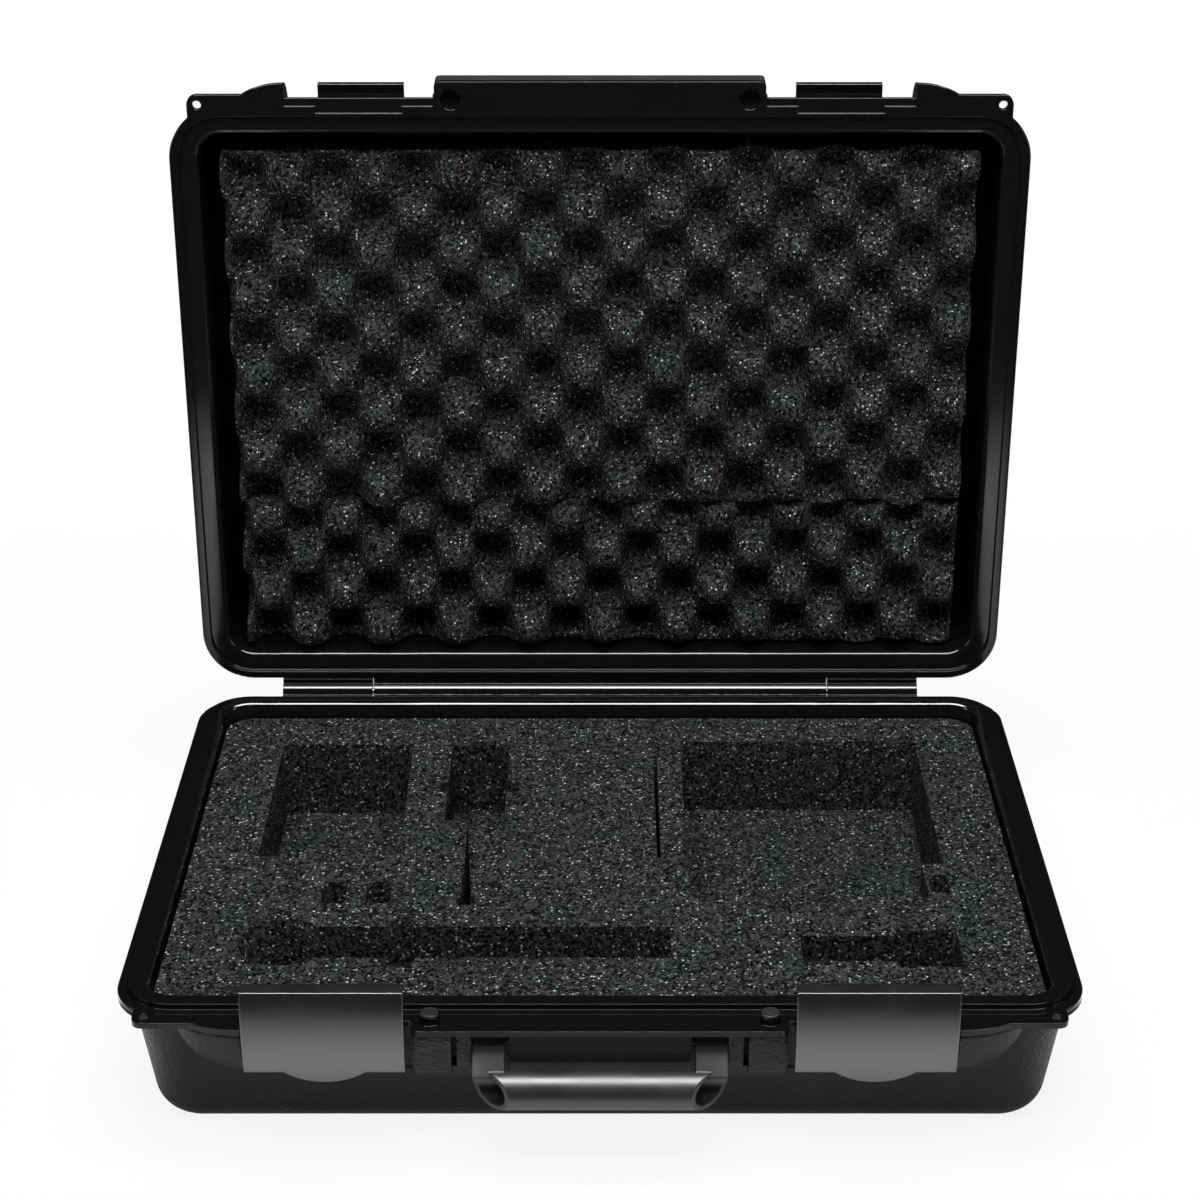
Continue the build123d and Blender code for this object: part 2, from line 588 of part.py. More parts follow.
def make_latch_link(x):
    """Link between the base pin and the plate pin."""
    ends = [LINK_PIVOT, PLATE_PIVOT]
    outline = Pos(*ends[0]) * Circle(LINK_RADIUS)
    outline += Pos(*ends[1]) * Circle(LINK_RADIUS)
    middle = ((ends[0][0] + ends[1][0]) / 2, (ends[0][1] + ends[1][1]) / 2)
    web = Rectangle(LINK_LENGTH, LINK_WEB)
    outline += Pos(*middle) * Rot(0, 0, LINK_REST_ANGLE) * web
    for end in ends:
        outline -= Pos(*end) * Circle(LATCH_PIN_RADIUS + RUNNING_GAP)
    return on_base(across(outline, x, LINK_WIDTH))


def make_latch_pin(x, point):
    """Steel pin as long as the link and its two lugs."""
    return on_base(rod(x, LUG_SPAN + 2 * LUG_THICK, point, LATCH_PIN_RADIUS))


# ---------------------------------------------------------------- handle
def make_handle():
    """Carrying handle: hollow slant-cut grip on two arms."""
    hull = make_hull(
        (Pos(*HANDLE_PIVOT) * Circle(HANDLE_BOSS_RADIUS)).edges()
        + (Pos(*HANDLE_GRIP) * Circle(HANDLE_BOSS_RADIUS)).edges()
    )
    arm_x = HANDLE_HALF_LENGTH - HANDLE_ARM_WIDTH / 2
    body = rod(0, 2 * HANDLE_HALF_LENGTH, HANDLE_GRIP, GRIP_RADIUS)
    reach, height = HANDLE_GRIP
    wedge = Polygon(
        (HANDLE_HALF_LENGTH + 1, -reach + GRIP_RADIUS),
        (HANDLE_HALF_LENGTH, -reach + GRIP_RADIUS),
        (HANDLE_HALF_LENGTH - GRIP_SLANT, -reach - GRIP_RADIUS),
        (HANDLE_HALF_LENGTH - GRIP_SLANT, -reach - GRIP_RADIUS - 2),
        (HANDLE_HALF_LENGTH + 1, -reach - GRIP_RADIUS - 2),
        align=None,
    )
    wedge = Pos(0, FRONT_Y, height - 2 * GRIP_RADIUS) * extrude(wedge, 5 * GRIP_RADIUS)
    body -= both_sides(wedge)
    body += both_sides(across(hull, arm_x, HANDLE_ARM_WIDTH))
    body -= rod(0, 3 * HANDLE_HALF_LENGTH, HANDLE_GRIP, GRIP_RADIUS - GRIP_WALL)
    bore = HANDLE_PIN_RADIUS + RUNNING_GAP
    body -= rod(0, 3 * HANDLE_HALF_LENGTH, HANDLE_PIVOT, bore)
    return on_base(body)


def make_handle_pin():
    """Pin through one handle arm into both walls of its pocket."""
    inner, outer = handle_pin_span()
    pin = rod((inner + outer) / 2, outer - inner, HANDLE_PIVOT, HANDLE_PIN_RADIUS)
    return on_base(pin)


def make_hinge_pin():
    """Hinge pin driven in from one end of the hinge."""
    inner = HINGE_HALF_LENGTH - HINGE_PIN_LENGTH
    return on_base(hinge_cylinder(inner, HINGE_HALF_LENGTH, HINGE_PIN_RADIUS))


# ---------------------------------------------------------------- foam
def plan(x0, x1, t0, t1, corner=0.0):
    """Plan rectangle by X and by distance in front of the hinge axis."""
    width, depth = x1 - x0, t1 - t0
    place = Pos((x0 + x1) / 2, HINGE_Y - (t0 + t1) / 2)
    if corner:
        return place * RectangleRounded(width, depth, corner)
    return place * Rectangle(width, depth)


def microphone_outline():
    """Lying handheld microphone: ball head, ring and body."""
    shape = Pos(MIC_HEAD_X, HINGE_Y - MIC_LINE) * Circle(MIC_HEAD_RADIUS)
    for (x0, x1), half, corner in ((MIC_BODY_X, MIC_BODY_HALF, 2), (MIC_RING_X, MIC_RING_HALF, 7)):
        shape += plan(x0, x1, MIC_LINE - half, MIC_LINE + half, corner)
    return shape


def bodypack_outline():
    """Belt pack with its cable bump, clip ears and aerial slot."""
    shape = plan(*PACK_POCKET, POCKET_CORNER)
    for outline in (PACK_CABLE, PACK_CLIP, AERIAL_SLOT, AERIAL_FOOT):
        shape += plan(*outline, SMALL_CORNER)
    return shape


def pockets():
    """Every die-cut pocket of the tray."""
    return [
        plan(*BOX_POCKET, POCKET_CORNER),
        bodypack_outline(),
        plan(*RECEIVER_WIDE, POCKET_CORNER) + plan(*RECEIVER_LONG, POCKET_CORNER),
        microphone_outline(),
        plan(*ADAPTER_NARROW, POCKET_CORNER) + plan(*ADAPTER_WIDE, POCKET_CORNER),
        plan(*WELL_LEFT, WELL_CORNER),
        plan(*WELL_RIGHT, WELL_CORNER),
        plan(*SIDE_NOTCH, SMALL_CORNER),
        plan(*BLADE_SLIT),
    ]


def make_tray():
    """Die-cut foam tray, its pockets cut right through to the pad."""
    half_width = CAVITY_HALF_WIDTH - TRAY_GAP
    half_depth = CAVITY_HALF_DEPTH - TRAY_GAP
    low = -TRAY_TOP_DROP - TRAY_THICK
    body = extrude(rounded(half_width, half_depth, TRAY_CORNER, low), TRAY_THICK)
    for outline in pockets():
        body -= extrude(Pos(0, 0, low - CUT_OVERRUN) * outline, TRAY_THICK + 2 * CUT_OVERRUN)
    return on_base(body)


def make_pad():
    """Plain foam pad under the tray, the lower slice of a block that fills the cavity."""
    half_width = CAVITY_HALF_WIDTH - TRAY_GAP - PAD_GAP
    half_depth = CAVITY_HALF_DEPTH - TRAY_GAP - PAD_GAP
    top = -TRAY_TOP_DROP - TRAY_THICK
    low = -BASE_HEIGHT + FLOOR_THICK + PAD_GAP
    corner = TRAY_CORNER + PAD_CORNER_EXTRA
    body = extrude(rounded(half_width, half_depth, corner, low), BASE_HEIGHT)
    body = fillet(body.edges().group_by(Axis.Z)[0], BASE_EDGE_ROUND - FLOOR_THICK)
    body = split(body, bisect_by=Plane.XY.offset(top), keep=Keep.BOTTOM)
    return on_base(body)


def crate_pits(t0, t1, crate, parity):
    """Tapering pits of the even or the odd rows of a chessboard over one sheet."""
    pitch_x, pitch_t, pit_x, pit_t, turn = crate
    low, high = CRATE_FLAT, 1 - CRATE_FLAT
    rim = (high - low) / 2
    pit = Wedge(
        high * pitch_x, CRATE_DEPTH, high * pitch_t,
        rim * pitch_x, rim * pitch_t, (rim + low) * pitch_x, (rim + low) * pitch_t,
        align=(Align.CENTER, Align.MIN, Align.CENTER),
    )
    pit = Rot(90, 0, 0) * pit
    pits = []
    for row in range(parity - CRATE_REACH, CRATE_REACH, 2):
        for column in range(parity - CRATE_REACH, CRATE_REACH, 2):
            x = pit_x + column * pitch_x / 2
            t = pit_t + row * pitch_t / 2 + x * tan(radians(turn))
            beside = abs(x) < LID_FOAM_HALF_WIDTH + pitch_x / 2
            if beside and t0 - pitch_t / 2 < t < t1 + pitch_t / 2:
                pits.append(Pos(x, HINGE_Y - t, LID_FOAM_PEAK) * pit)
    return pits


def make_lid_foam(t0, t1, crate):
    """One convoluted foam sheet of the lid, between two distances from the hinge."""
    face = plan(-LID_FOAM_HALF_WIDTH, LID_FOAM_HALF_WIDTH, t0, t1, LID_FOAM_CORNER)
    top = LID_HEIGHT - FLOOR_THICK - PAD_GAP
    body = Pos(0, 0, LID_FOAM_PEAK) * extrude(face, top - LID_FOAM_PEAK)
    body = fillet(body.edges().group_by(Axis.Z)[-1], LID_FOAM_BACK_ROUND)
    for parity in (0, 1):
        body -= crate_pits(t0, t1, crate, parity)
    return on_lid(body)


LID_FOAM_START = HINGE_SETBACK + LID_FOAM_REAR_INSET
LID_FOAM_END = HINGE_SETBACK + CASE_DEPTH - LID_FOAM_FRONT_INSET
LID_FOAM_SEAM = LID_FOAM_START + LID_FOAM_LOWER_DEPTH


# ---------------------------------------------------------------- export
def export_all():
    """Write one STEP file per piece."""
    pieces = {
        "base_shell": make_base_shell(),
        "lid_shell": make_lid_shell(),
        "handle": make_handle(),
        "base_foam_tray": make_tray(),
        "base_foam_pad": make_pad(),
        "lid_foam_lower": make_lid_foam(LID_FOAM_START, LID_FOAM_SEAM, LOWER_CRATE),
        "lid_foam_upper": make_lid_foam(
            LID_FOAM_SEAM + LID_FOAM_SPLIT_GAP, LID_FOAM_END, UPPER_CRATE
        ),
    }
    for side, x in (("left", -LATCH_X), ("right", LATCH_X)):
        pieces["keeper_" + side] = make_keeper(x)
        pieces["latch_plate_" + side] = make_latch_plate(x)
        pieces["latch_link_" + side] = make_latch_link(x)
        pieces["latch_base_pin_" + side] = make_latch_pin(x, LINK_PIVOT)
        pieces["latch_plate_pin_" + side] = make_latch_pin(x, PLATE_PIVOT)
    pieces["handle_pin_left"], pieces["handle_pin_right"] = both_sides(make_handle_pin())[::-1]
    pieces["hinge_pin_left"], pieces["hinge_pin_right"] = both_sides(make_hinge_pin())[::-1]
    for name, piece in pieces.items():
        piece.label = name
        export_step(piece, "parts/" + name + ".step")
        print(name, round(piece.volume / 1000, 1), "cm3")


export_all()
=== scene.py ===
# %% [markdown]
# # A hard-shell microphone case, dressed for a studio picture
#
# The case comes from the CAD frame as real solids: two moulded shells, a long
# hinge, two draw latches, a folding handle and blocks of foam. This lesson
# gives every surface its finish, cuts the foam to its true shape and lights
# the whole as a studio would.
#
# We start by loading the frame. Everything is in metres, +X runs along the
# front of the case, +Y points to the hinge and +Z is up.

import json
from math import pi, radians

import bmesh
import bpy
from mathutils import Matrix, Vector


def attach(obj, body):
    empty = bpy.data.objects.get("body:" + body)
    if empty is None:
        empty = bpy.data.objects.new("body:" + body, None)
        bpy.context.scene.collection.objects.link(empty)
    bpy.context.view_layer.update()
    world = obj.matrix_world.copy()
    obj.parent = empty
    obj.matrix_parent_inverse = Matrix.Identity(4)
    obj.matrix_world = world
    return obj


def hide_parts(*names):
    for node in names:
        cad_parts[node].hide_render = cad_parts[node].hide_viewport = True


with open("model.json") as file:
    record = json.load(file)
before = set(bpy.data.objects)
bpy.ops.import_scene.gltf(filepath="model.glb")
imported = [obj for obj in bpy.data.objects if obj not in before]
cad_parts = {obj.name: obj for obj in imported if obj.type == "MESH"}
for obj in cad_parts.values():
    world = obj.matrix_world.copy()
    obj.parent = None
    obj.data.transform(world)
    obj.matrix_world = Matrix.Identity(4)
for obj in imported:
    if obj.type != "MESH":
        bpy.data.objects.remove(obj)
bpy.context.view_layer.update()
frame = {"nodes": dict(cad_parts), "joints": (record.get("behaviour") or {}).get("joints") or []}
nodes = frame["nodes"]
MM = 0.001

# %% [markdown]
# ## The camera
#
# A product picture is taken from a little way off with a long lens, so that
# the lid and the base keep their shapes. The camera stands on the middle line
# of the case and looks down by about a quarter of a right angle.

# %% Camera
CAMERA_PLACE = Vector((0.0, -1.3158, 0.8027))
CAMERA_DIP = radians(23.87)
CAMERA_LENS = 81.18
SENSOR = 36.0
CAMERA_SEES = (0.05, 50.0)


def make_camera():
    """A long-lens camera on the middle line, tipped down by CAMERA_DIP."""
    data = bpy.data.cameras.new("studio_camera")
    data.sensor_width = SENSOR
    data.lens = CAMERA_LENS
    data.clip_start, data.clip_end = CAMERA_SEES
    camera = bpy.data.objects.new("studio_camera", data)
    camera.location = CAMERA_PLACE
    camera.rotation_euler = (pi / 2 - CAMERA_DIP, 0.0, 0.0)
    bpy.context.scene.collection.objects.link(camera)
    bpy.context.scene.camera = camera
    return camera


camera = make_camera()
print("camera at", tuple(round(v, 3) for v in camera.location))

# %% [markdown]
# ## Where the lid is
#
# The lid is drawn open in the frame. Its foam and its grain are much easier to
# describe on the shut lid, where depth is simply height. The hinge joint in
# the record says where the axis is and how far the lid can turn shut, and a
# rotation about that axis takes shut points to open ones.

# %% Lid placement
hinge = next(j for j in frame["joints"] if j["child"] == "lid")
HINGE = Vector(hinge["pos_m"])
LID_TURN = radians(hinge["range_deg"][1])
SEAM = HINGE.z
to_hinge = Matrix.Translation(HINGE)
OPEN_LID = to_hinge @ Matrix.Rotation(-LID_TURN, 4, "X") @ to_hinge.inverted()
print("lid turns by", hinge["range_deg"][1], "degrees about", tuple(HINGE))


# %% [markdown]
# ## Small helpers for shader trees
#
# A material is a tree of nodes. These helpers add a node, set its sockets by
# name and link it, so that each finish further down reads as a short recipe.

# %% Shader helpers
def new_material(name):
    """Material with a fresh node tree holding only its output and a principled shader."""
    material = bpy.data.materials.new(name)
    material.use_nodes = True
    tree = material.node_tree
    tree.nodes.clear()
    output = tree.nodes.new("ShaderNodeOutputMaterial")
    shader = tree.nodes.new("ShaderNodeBsdfPrincipled")
    tree.links.new(shader.outputs[0], output.inputs[0])
    return material, tree, shader


def fill(tree, socket, value):
    """Link a socket to another one, or write a plain value into it."""
    if isinstance(value, bpy.types.NodeSocket):
        tree.links.new(value, socket)
    else:
        socket.default_value = value


def add(tree, kind, settings=None, **sockets):
    """New node; settings are its properties and sockets its inputs, by number or name."""
    node = tree.nodes.new(kind)
    for key, value in (settings or {}).items():
        setattr(node, key, value)
    for key, value in sockets.items():
        name = key.replace("_", " ")
        fill(tree, node.inputs[int(key[1:])] if key[1:].isdigit() else node.inputs[name], value)
    return node


def paint(tree, shader, **looks):
    """Fill the shader's inputs, each given by its name with underscores for spaces."""
    for key, value in looks.items():
        fill(tree, shader.inputs[key.replace("_", " ")], value)


def calc(tree, operation, first, second=0.0, clamp=False):
    """Math node on one or two values; returns its output."""
    settings = {"operation": operation, "use_clamp": clamp}
    return add(tree, "ShaderNodeMath", settings, i0=first, i1=second).outputs[0]


def spread(tree, value, low, high, out_low, out_high):
    """Value stretched from low..high to out_low..out_high and held there."""
    node = add(
        tree, "ShaderNodeMapRange", {"clamp": True},
        Value=value, From_Min=low, From_Max=high, To_Min=out_low, To_Max=out_high,
    )
    return node.outputs[0]


def opaque(colour):
    """Plain colour with its alpha; a socket is passed on as it is."""
    return (*colour, 1.0) if isinstance(colour, tuple) else colour


def tint(tree, factor, dark, light):
    """Colour between two colours, each plain or from a socket."""
    settings = {"data_type": "RGBA"}
    node = add(tree, "ShaderNodeMix", settings, i0=factor, i6=opaque(dark), i7=opaque(light))
    return node.outputs[2]


print("shader helpers ready")


# %% [markdown]
# ## Seam coordinates
#
# Both shells are finished alike: a smooth bright rim, and a pebbled grain on
# the outer walls that fades out near it. The recipe therefore needs a point's
# height from the seam and whether its face looks outwards. On the lid a
# Mapping node first turns the open lid's points back to where they are when
# it is shut. Object coordinates travel with the piece, so nothing slides when
# the lid swings.

# %% Seam coordinates in a shader
def seam_frame(tree, on_lid):
    """Point and normal in the shut case's frame, with heights counted from the seam."""
    source = add(tree, "ShaderNodeTexCoord")
    turn = LID_TURN if on_lid else 0.0
    shut = Matrix.Rotation(turn, 4, "X")
    move = HINGE - shut @ HINGE - Vector((0.0, 0.0, SEAM))
    place = add(
        tree, "ShaderNodeMapping", {"vector_type": "POINT"},
        Vector=source.outputs["Object"], Rotation=(turn, 0.0, 0.0), Location=move,
    )
    aim = add(
        tree, "ShaderNodeMapping", {"vector_type": "VECTOR"},
        Vector=source.outputs["Normal"], Rotation=(turn, 0.0, 0.0),
    )
    return place.outputs[0], aim.outputs[0]


def outward(tree, point, normal):
    """Positive where a face looks away from the middle of the case."""
    dot = add(
        tree, "ShaderNodeVectorMath", {"operation": "DOT_PRODUCT"}, i0=point, i1=normal
    )
    return dot.outputs["Value"]


print("seam at", SEAM)

# %% [markdown]
# ## Moulded plastic
#
# The shells are black moulded plastic. The steel of the mould was etched where
# hands and floors touch the case, so the walls have a leathery grain about a
# millimetre wide, while the rim and the inside were left polished. Grain is
# far too fine to model, so it is a bump. Smudges in the roughness keep the
# polished parts from looking like glass. Away from the rim the plastic is
# given a weaker mirror image, as handled and dusty walls have.

# %% Shell plastic
SHELL_BLACK = (0.0045, 0.0048, 0.0048)
SHELL_GREY = (0.019, 0.0204, 0.0202)
GRAIN_CELLS = 620.0
GRAIN_DEPTH = 0.5 * MM
RIM_CLEAR = 3.2 * MM
GRAIN_FULL = 5.0 * MM
FACING_BAND = 0.01
GRAIN_SMOOTH = 0.6
SMUDGE_SCALE = 35.0
NOISE_RANGE = (0.35, 0.65)
POLISH = (0.10, 0.15)
DULL = (0.44, 0.52)
RIM_MIRROR = 0.6
WALL_MIRROR = 0.2
EDGE_RADIUS = 0.6 * MM


def shell_plastic(name, on_lid):
    """Black plastic: grained outer walls, polished rim and inside."""
    material, tree, shader = new_material(name)
    point, normal = seam_frame(tree, on_lid)
    split = add(tree, "ShaderNodeSeparateXYZ", Vector=point)
    height = calc(tree, "ABSOLUTE", split.outputs[2])
    wall = spread(tree, height, RIM_CLEAR, GRAIN_FULL, 0.0, 1.0)
    facing = spread(tree, outward(tree, point, normal), -FACING_BAND, FACING_BAND, 0.0, 1.0)
    grained = calc(tree, "MULTIPLY", wall, facing)
    pebbles = add(
        tree, "ShaderNodeTexVoronoi", {"feature": "SMOOTH_F1"},
        Vector=point, Scale=GRAIN_CELLS, Smoothness=GRAIN_SMOOTH,
    )
    wrinkle = add(tree, "ShaderNodeTexNoise", Vector=point, Scale=GRAIN_CELLS / 2, Detail=4.0)
    relief = calc(tree, "ADD", pebbles.outputs["Distance"], wrinkle.outputs[0])
    relief = calc(tree, "MULTIPLY", relief, grained)
    rounded = add(tree, "ShaderNodeBevel", {"samples": 4}, Radius=EDGE_RADIUS)
    bump = add(
        tree, "ShaderNodeBump", Height=relief, Distance=GRAIN_DEPTH, Strength=1.0,
        Normal=rounded.outputs[0],
    )
    smudge = add(tree, "ShaderNodeTexNoise", Vector=point, Scale=SMUDGE_SCALE, Detail=5.0)
    polish = spread(tree, smudge.outputs[0], *NOISE_RANGE, *POLISH)
    dull = spread(tree, smudge.outputs[0], *NOISE_RANGE, *DULL)
    rough = add(tree, "ShaderNodeMix", {"data_type": "FLOAT"}, i0=grained, i2=polish, i3=dull)
    quiet = calc(tree, "MAXIMUM", wall, facing)
    paint(
        tree, shader,
        Roughness=rough.outputs[0],
        Base_Color=tint(tree, grained, SHELL_BLACK, SHELL_GREY),
        Normal=bump.outputs[0],
        Specular_IOR_Level=spread(tree, quiet, 0.0, 1.0, RIM_MIRROR, WALL_MIRROR),
    )
    return material


shell_base = shell_plastic("shell_plastic_base", False)
shell_lid = shell_plastic("shell_plastic_lid", True)
print("shell finishes", shell_base.name, shell_lid.name)


# %% [markdown]
# ## Satin plastic
#
# The latches, keepers and handle are moulded from a tougher plastic with a
# fine spark-eroded satin. One recipe serves them all; the grey, the roughness,
# the depth of the satin, the gloss and the rounding of the edges differ.

# %% Satin plastic
SATIN_CELLS = 2600.0
MARKS_SCALE = 60.0
MARKS_ROUGH = 0.04
MARKS_RANGE = (0.3, 0.7)
MARKS_DARK = 0.85


def satin_plastic(name, grey, roughness, depth, gloss, edge):
    """Satin plastic with a fine even texture and faint handling marks."""
    material, tree, shader = new_material(name)
    point = add(tree, "ShaderNodeTexCoord").outputs["Object"]
    fine = add(tree, "ShaderNodeTexNoise", Vector=point, Scale=SATIN_CELLS, Detail=2.0)
    marks = add(tree, "ShaderNodeTexNoise", Vector=point, Scale=MARKS_SCALE, Detail=6.0)
    rounded = add(tree, "ShaderNodeBevel", {"samples": 8}, Radius=edge)
    bump = add(
        tree, "ShaderNodeBump", Height=fine.outputs[0], Distance=depth, Strength=1.0,
        Normal=rounded.outputs[0],
    )
    worn = (roughness - MARKS_ROUGH, roughness + MARKS_ROUGH)
    shade = spread(tree, marks.outputs[0], *MARKS_RANGE, 0.0, 1.0)
    dark = tuple(MARKS_DARK * v for v in grey)
    paint(
        tree, shader,
        Roughness=spread(tree, marks.outputs[0], *NOISE_RANGE, *worn),
        Base_Color=tint(tree, shade, dark, grey),
        Normal=bump.outputs[0],
        Specular_IOR_Level=gloss,
    )
    return material


latch_satin = satin_plastic(
    "latch_satin", grey=(0.014, 0.0132, 0.013),
    roughness=0.22, depth=0.001 * MM, gloss=1.0, edge=1.2 * MM,
)
handle_satin = satin_plastic(
    "handle_satin", grey=(0.022, 0.021, 0.021),
    roughness=0.38, depth=0.02 * MM, gloss=0.5, edge=0.8 * MM,
)
keeper_gloss = satin_plastic(
    "keeper_gloss", grey=(0.004, 0.004, 0.004),
    roughness=0.14, depth=0.001 * MM, gloss=0.7, edge=1.0 * MM,
)
print("satin finishes ready")


# %% [markdown]
# ## Pin steel
#
# The pins are drawn steel wire. Fine scratches run along each pin, so the
# noise is stretched along X, which is the way every pin in this case lies.

# %% Pin steel
STEEL = (0.52, 0.52, 0.53)
DRAWN_SCALE = (40.0, 4000.0, 4000.0)
STEEL_ROUGH = (0.24, 0.4)
SCRATCH_DEPTH = 0.01 * MM


def pin_steel():
    """Drawn steel with scratches along X."""
    material, tree, shader = new_material("pin_steel")
    point = add(tree, "ShaderNodeTexCoord").outputs["Object"]
    drawn = add(tree, "ShaderNodeMapping", Vector=point, Scale=DRAWN_SCALE)
    scratch = add(tree, "ShaderNodeTexNoise", Vector=drawn.outputs[0], Scale=1.0, Detail=3.0)
    bump = add(tree, "ShaderNodeBump", Height=scratch.outputs[0], Distance=SCRATCH_DEPTH)
    paint(
        tree, shader,
        Roughness=spread(tree, scratch.outputs[0], *MARKS_RANGE, *STEEL_ROUGH),
        Normal=bump.outputs[0],
        Base_Color=opaque(STEEL),
        Metallic=1.0,
    )
    return material


steel = pin_steel()
print("steel ready")


# %% [markdown]
# ## Finish the CAD pieces
#
# Every rigid piece keeps its CAD shape and only gets its finish. The CAD
# meshes are loose triangles, so a Weld modifier joins them, and an Edge Split
# modifier keeps the true corners sharp while curved walls are shaded smooth.

# %% Dress the rigid pieces
SHARP = radians(32.0)
WELD = 0.004 * MM
FINISHES = {
    "base_shell": shell_base,
    "lid_shell": shell_lid,
    "handle": handle_satin,
    "keeper": keeper_gloss,
    "latch_plate_pin": steel,
    "latch_base_pin": steel,
    "handle_pin": steel,
    "hinge_pin": steel,
    "latch_plate": latch_satin,
    "latch_link": latch_satin,
}


def finish_for(name):
    """Finish of the first family name that the node's name starts with."""
    return next(m for family, m in FINISHES.items() if name.startswith(family))


def dress(piece, material):
    """Finish on a CAD piece, with smooth curved walls and sharp corners."""
    piece.data.materials.clear()
    piece.data.materials.append(material)
    piece.data.polygons.foreach_set("use_smooth", [True] * len(piece.data.polygons))
    weld = piece.modifiers.new("weld", "WELD")
    weld.merge_threshold = WELD
    split = piece.modifiers.new("corners", "EDGE_SPLIT")
    split.split_angle = SHARP


rigid = [name for name in sorted(nodes) if "foam" not in name]
for name in rigid:
    dress(nodes[name], finish_for(name))
print("dressed", len(rigid), "rigid pieces")

# %% [markdown]
# ## Charcoal foam
#
# The foam is open-cell polyurethane. Close to, it is a web of dark bubbles
# under a millimetre across, and here and there a cell wall catches the light
# as a bright glint. Voronoi cells give the bubbles, each with its own random
# tone, and the few cells with the highest number get these glints painted
# into their colour as near-white.

# %% Foam material
CELL_COUNT = 760.0
FOAM_DARK = (0.0025, 0.0032, 0.003)
FOAM_MID = (0.066, 0.074, 0.071)
FOAM_WARM = (0.075, 0.071, 0.072)
FOAM_PAINTED_GLINT = (0.75, 0.80, 0.82)
GLINT_SHARE = 0.10
SHADE_CURVE = 1.7
WARP_SCALE = 700.0
WARP_REACH = 1.2 * MM
CLOUD_SCALE = 28.0
CLOUD_RANGE = (0.4, 0.6)
GLINT_EDGE = (0.25, 0.55)
CELL_DEPTH = 0.35 * MM
CELL_STRENGTH = 0.8
FOAM_ROUGH = 0.95


def charcoal_foam(name):
    """Dark open-cell foam with bright painted glints."""
    material, tree, shader = new_material(name)
    point = add(tree, "ShaderNodeTexCoord").outputs["Object"]
    warp = add(tree, "ShaderNodeTexNoise", Vector=point, Scale=WARP_SCALE, Detail=2.0)
    shift = add(
        tree, "ShaderNodeVectorMath", {"operation": "MULTIPLY_ADD"},
        i0=warp.outputs["Color"], i1=(WARP_REACH,) * 3, i2=point,
    )
    cells = add(tree, "ShaderNodeTexVoronoi", Vector=shift.outputs[0], Scale=CELL_COUNT)
    number = add(tree, "ShaderNodeSeparateColor", Color=cells.outputs["Color"])
    clouds = add(tree, "ShaderNodeTexNoise", Vector=point, Scale=CLOUD_SCALE, Detail=4.0)
    warmth = spread(tree, clouds.outputs[0], *CLOUD_RANGE, 0.0, 1.0)
    body = tint(tree, warmth, FOAM_MID, FOAM_WARM)
    shade = calc(tree, "POWER", number.outputs[1], SHADE_CURVE)
    grey = tint(tree, shade, FOAM_DARK, body)
    # painted glints: the brightest cells get a near-white colour standing for light caught by
    # cell walls
    painted_glint = spread(tree, number.outputs[0], 1.0 - GLINT_SHARE, 1.0, 0.0, 1.0)
    near = spread(tree, cells.outputs["Distance"], *GLINT_EDGE, 1.0, 0.0)
    painted_glint = calc(tree, "MULTIPLY", painted_glint, near)
    bump = add(
        tree, "ShaderNodeBump", Height=cells.outputs["Distance"], Distance=CELL_DEPTH,
        Strength=CELL_STRENGTH,
    )
    paint(
        tree, shader,
        Base_Color=tint(tree, painted_glint, grey, FOAM_PAINTED_GLINT),
        Normal=bump.outputs[0],
        Roughness=FOAM_ROUGH,
        Specular_IOR_Level=0.0,
    )
    return material


foam = charcoal_foam("charcoal_foam")
print("foam ready:", CELL_COUNT, "cells to the metre")


# %% [markdown]
# ## Die-cut foam in the base
#
# The tray is a slab of foam that a steel-rule die has cut right through, and
# the pad under it is the floor of every pocket. Both shapes are exact in the
# CAD, so each is rebuilt from a welded copy of its solid, with a narrow
# rounding along the cuts, because foam springs back softly behind the knife.

# %% Cut foam helpers
FLAT = radians(0.5)


def welded_copy(node, name):
    """Plain mesh object with the CAD node's shape, its triangles joined."""
    mesh = bpy.data.meshes.new(name)
    work = bmesh.new()
    work.from_mesh(nodes[node].data)
    bmesh.ops.remove_doubles(work, verts=work.verts, dist=WELD)
    bmesh.ops.dissolve_limit(work, angle_limit=FLAT, verts=work.verts, edges=work.edges)
    bmesh.ops.recalc_face_normals(work, faces=work.faces)
    work.to_mesh(mesh)
    work.free()
    piece = bpy.data.objects.new(name, mesh)
    bpy.context.scene.collection.objects.link(piece)
    return piece


def settle(piece):
    """Modifiers baked into a plain mesh that takes the piece's name."""
    graph = bpy.context.evaluated_depsgraph_get()
    graph.update()
    mesh = bpy.data.meshes.new_from_object(piece.evaluated_get(graph), depsgraph=graph)
    piece.modifiers.clear()
    piece.data = mesh
    mesh.name = piece.name
    return piece


def triangles(piece):
    """Number of triangles in a finished piece."""
    return sum(len(p.vertices) - 2 for p in piece.data.polygons)


print("cut foam helpers ready")

# %% [markdown]
# The rounding is a Bevel modifier that only takes edges sharper than a set
# angle, so the faceted rounds of the solid stay as they are.

# %% Tray and pad
CUT_ROUND = 0.7 * MM
CUT_STEPS = 2
CUT_ANGLE = radians(50.0)


def cut_foam(node, name):
    """Foam block with softly rounded cuts, standing for its CAD node."""
    piece = welded_copy(node, name)
    bevel = piece.modifiers.new("cut edges", "BEVEL")
    bevel.width = CUT_ROUND
    bevel.segments = CUT_STEPS
    bevel.limit_method = "ANGLE"
    bevel.angle_limit = CUT_ANGLE
    bevel.use_clamp_overlap = True
    settle(piece)
    piece.data.materials.clear()
    piece.data.materials.append(foam)
    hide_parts(node)
    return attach(piece, "base")


tray = cut_foam("base_foam_tray", "die_cut_tray")
pad = cut_foam("base_foam_pad", "floor_pad")
print("tray", triangles(tray), "pad", triangles(pad))

